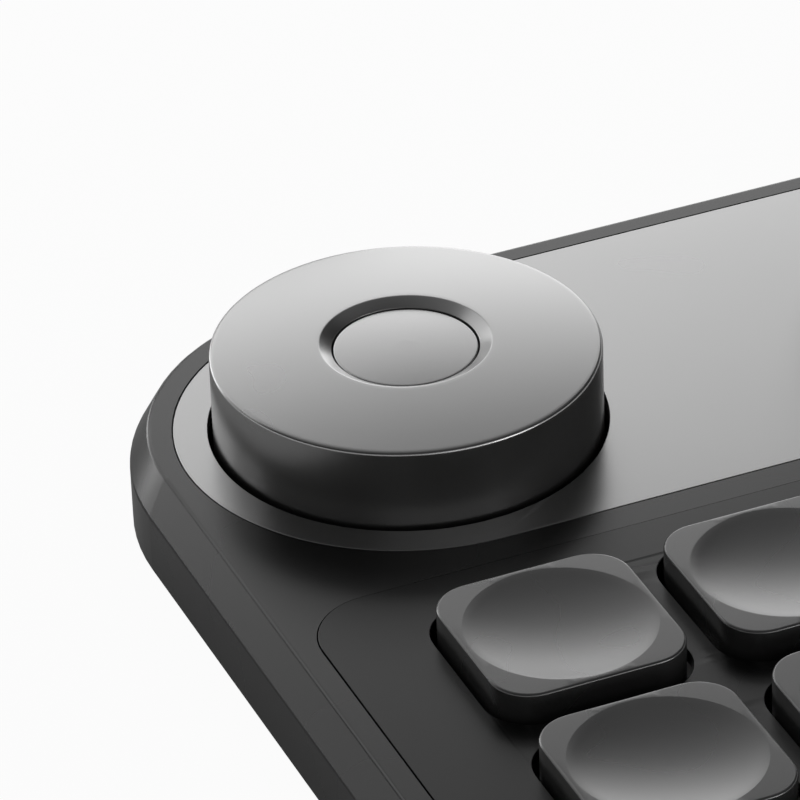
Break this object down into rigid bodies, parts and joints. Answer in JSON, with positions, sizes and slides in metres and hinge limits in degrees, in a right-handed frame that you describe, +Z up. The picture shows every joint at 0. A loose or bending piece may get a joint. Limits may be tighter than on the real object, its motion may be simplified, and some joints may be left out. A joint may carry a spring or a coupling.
{
  "type": "macro keypad",
  "caption": "Low square-set macro keypad: dished keys on a level panel, two broad crowned turning knobs with centre push buttons in a blank strip at the back, wide bevelled rim.",
  "frame": {"origin": "on the surface that it stands on, under the middle of the case", "axes": "+Z up, +Y to the back where the knobs are, +X to the right as seen from the user"},
  "size_m": [0.0984, 0.1122, 0.0166],
  "materials": {
    "case_metal": "dark anodised, fine bead-blasted grain",
    "strip_metal": "grey anodised, satin",
    "panel_metal": "dark anodised, fine grain",
    "knob_metal": "grey anodised, satin, turned",
    "button_metal": "grey anodised, satin",
    "keycap": "dark grey, satin",
    "cover_metal": "dark anodised, satin",
    "plate_steel": "plain steel",
    "board": "black solder mask",
    "chip": "matt black",
    "rubber": "matt black",
    "screw_steel": "black zinc",
    "port_steel": "bright nickel",
    "switch_plastic": "black",
    "stem_plastic": "red",
    "spring_steel": "bright",
    "encoder_plastic": "black",
    "hub_brass": "turned"
  },
  "bodies": {
    "root": {"top_case": "case_metal", "control_strip": "strip_metal", "key_panel": "panel_metal", "switch_plate": "plate_steel", "main_board": "board", "board_chips": "chip", "bottom_cover": "cover_metal", "rubber_feet": "rubber", "cover_screws": "screw_steel", "board_screws": "screw_steel", "usb_port": "port_steel", "switch_bases": "switch_plastic", "switch_covers": "switch_plastic", "key_spring_r1c1": "spring_steel", "key_spring_r1c2": "spring_steel", "key_spring_r1c3": "spring_steel", "key_spring_r1c4": "spring_steel", "key_spring_r2c1": "spring_steel", "key_spring_r2c2": "spring_steel", "key_spring_r2c3": "spring_steel", "key_spring_r2c4": "spring_steel", "key_spring_r3c1": "spring_steel", "key_spring_r3c2": "spring_steel", "key_spring_r3c3": "spring_steel", "key_spring_r3c4": "spring_steel", "left_encoder": "encoder_plastic", "left_snap_dome": "spring_steel", "right_encoder": "encoder_plastic", "right_snap_dome": "spring_steel"},
    "key_r1c1": {"keycap_r1c1": "keycap", "key_stem_r1c1": "stem_plastic"},
    "key_r1c2": {"keycap_r1c2": "keycap", "key_stem_r1c2": "stem_plastic"},
    "key_r1c3": {"keycap_r1c3": "keycap", "key_stem_r1c3": "stem_plastic"},
    "key_r1c4": {"keycap_r1c4": "keycap", "key_stem_r1c4": "stem_plastic"},
    "key_r2c1": {"keycap_r2c1": "keycap", "key_stem_r2c1": "stem_plastic"},
    "key_r2c2": {"keycap_r2c2": "keycap", "key_stem_r2c2": "stem_plastic"},
    "key_r2c3": {"keycap_r2c3": "keycap", "key_stem_r2c3": "stem_plastic"},
    "key_r2c4": {"keycap_r2c4": "keycap", "key_stem_r2c4": "stem_plastic"},
    "key_r3c1": {"keycap_r3c1": "keycap", "key_stem_r3c1": "stem_plastic"},
    "key_r3c2": {"keycap_r3c2": "keycap", "key_stem_r3c2": "stem_plastic"},
    "key_r3c3": {"keycap_r3c3": "keycap", "key_stem_r3c3": "stem_plastic"},
    "key_r3c4": {"keycap_r3c4": "keycap", "key_stem_r3c4": "stem_plastic"},
    "left_knob": {"left_knob": "knob_metal", "left_knob_hub": "hub_brass"},
    "left_button": {"left_button": "button_metal"},
    "right_knob": {"right_knob": "knob_metal", "right_knob_hub": "hub_brass"},
    "right_button": {"right_button": "button_metal"}
  },
  "joints": [
    {"name": "key_r1c1_press", "type": "slide", "parent": "root", "child": "key_r1c1", "axis": [0, 0, -1], "range_m": [0, 0.0018], "stiffness_N_per_m": 150, "springref_m": -0.0012, "deforming": ["key_spring_r1c1"]},
    {"name": "key_r1c2_press", "type": "slide", "parent": "root", "child": "key_r1c2", "axis": [0, 0, -1], "range_m": [0, 0.0018], "stiffness_N_per_m": 150, "springref_m": -0.0012, "deforming": ["key_spring_r1c2"]},
    {"name": "key_r1c3_press", "type": "slide", "parent": "root", "child": "key_r1c3", "axis": [0, 0, -1], "range_m": [0, 0.0018], "stiffness_N_per_m": 150, "springref_m": -0.0012, "deforming": ["key_spring_r1c3"]},
    {"name": "key_r1c4_press", "type": "slide", "parent": "root", "child": "key_r1c4", "axis": [0, 0, -1], "range_m": [0, 0.0018], "stiffness_N_per_m": 150, "springref_m": -0.0012, "deforming": ["key_spring_r1c4"]},
    {"name": "key_r2c1_press", "type": "slide", "parent": "root", "child": "key_r2c1", "axis": [0, 0, -1], "range_m": [0, 0.0018], "stiffness_N_per_m": 150, "springref_m": -0.0012, "deforming": ["key_spring_r2c1"]},
    {"name": "key_r2c2_press", "type": "slide", "parent": "root", "child": "key_r2c2", "axis": [0, 0, -1], "range_m": [0, 0.0018], "stiffness_N_per_m": 150, "springref_m": -0.0012, "deforming": ["key_spring_r2c2"]},
    {"name": "key_r2c3_press", "type": "slide", "parent": "root", "child": "key_r2c3", "axis": [0, 0, -1], "range_m": [0, 0.0018], "stiffness_N_per_m": 150, "springref_m": -0.0012, "deforming": ["key_spring_r2c3"]},
    {"name": "key_r2c4_press", "type": "slide", "parent": "root", "child": "key_r2c4", "axis": [0, 0, -1], "range_m": [0, 0.0018], "stiffness_N_per_m": 150, "springref_m": -0.0012, "deforming": ["key_spring_r2c4"]},
    {"name": "key_r3c1_press", "type": "slide", "parent": "root", "child": "key_r3c1", "axis": [0, 0, -1], "range_m": [0, 0.0018], "stiffness_N_per_m": 150, "springref_m": -0.0012, "deforming": ["key_spring_r3c1"]},
    {"name": "key_r3c2_press", "type": "slide", "parent": "root", "child": "key_r3c2", "axis": [0, 0, -1], "range_m": [0, 0.0018], "stiffness_N_per_m": 150, "springref_m": -0.0012, "deforming": ["key_spring_r3c2"]},
    {"name": "key_r3c3_press", "type": "slide", "parent": "root", "child": "key_r3c3", "axis": [0, 0, -1], "range_m": [0, 0.0018], "stiffness_N_per_m": 150, "springref_m": -0.0012, "deforming": ["key_spring_r3c3"]},
    {"name": "key_r3c4_press", "type": "slide", "parent": "root", "child": "key_r3c4", "axis": [0, 0, -1], "range_m": [0, 0.0018], "stiffness_N_per_m": 150, "springref_m": -0.0012, "deforming": ["key_spring_r3c4"]},
    {"name": "left_knob_turn", "type": "hinge", "parent": "root", "child": "left_knob", "pos_m": [-0.02657, 0.03352, 0.009], "axis": [0, 0, 1], "continuous": true},
    {"name": "left_button_press", "type": "slide", "parent": "root", "child": "left_button", "axis": [0, 0, -1], "range_m": [0, 0.0005], "stiffness_N_per_m": 2000, "springref_m": -0.0003, "deforming": ["left_snap_dome"]},
    {"name": "right_knob_turn", "type": "hinge", "parent": "root", "child": "right_knob", "pos_m": [0.02657, 0.03352, 0.009], "axis": [0, 0, 1], "continuous": true},
    {"name": "right_button_press", "type": "slide", "parent": "root", "child": "right_button", "axis": [0, 0, -1], "range_m": [0, 0.0005], "stiffness_N_per_m": 2000, "springref_m": -0.0003, "deforming": ["right_snap_dome"]}
  ]
}
